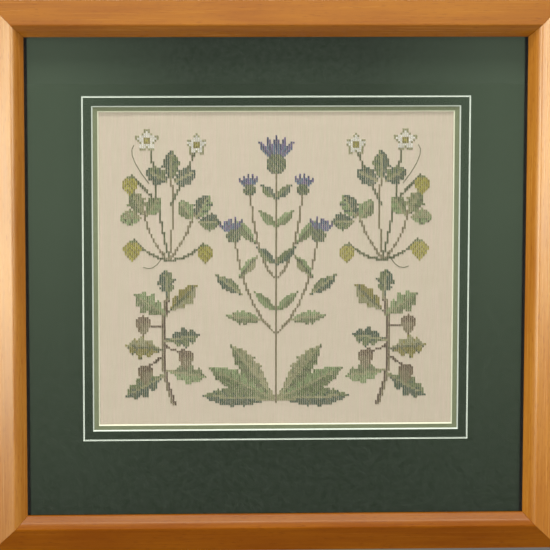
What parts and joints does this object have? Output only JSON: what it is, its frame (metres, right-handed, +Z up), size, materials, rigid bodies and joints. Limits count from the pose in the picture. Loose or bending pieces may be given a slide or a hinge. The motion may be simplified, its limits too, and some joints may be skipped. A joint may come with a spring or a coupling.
{
  "type": "framed cross-stitch",
  "caption": "Counted cross-stitch of flowers and leaves on linen, in two window mats behind glass in a mitred honey-coloured wooden frame.",
  "frame": {"origin": "on the wall plane, in the middle of the back of the top rail", "axes": "+X to the viewer's right along the longest side, +Y from the picture into the wall, +Z up"},
  "size_m": [0.668, 0.0252, 0.646],
  "materials": {
    "honey_wood": "satin lacquer",
    "clear_glass": "clear",
    "dark_green_mat": "matte",
    "sage_mat": "matte",
    "natural_linen": "plain weave",
    "backing_card": "matte"
  },
  "bodies": {
    "root": {"rail_top": "honey_wood", "rail_right": "honey_wood", "rail_bottom": "honey_wood", "rail_left": "honey_wood", "glass": "clear_glass", "mat_outer": "dark_green_mat", "mat_inner": "sage_mat", "linen": "natural_linen", "backing_board": "backing_card"}
  },
  "joints": []
}
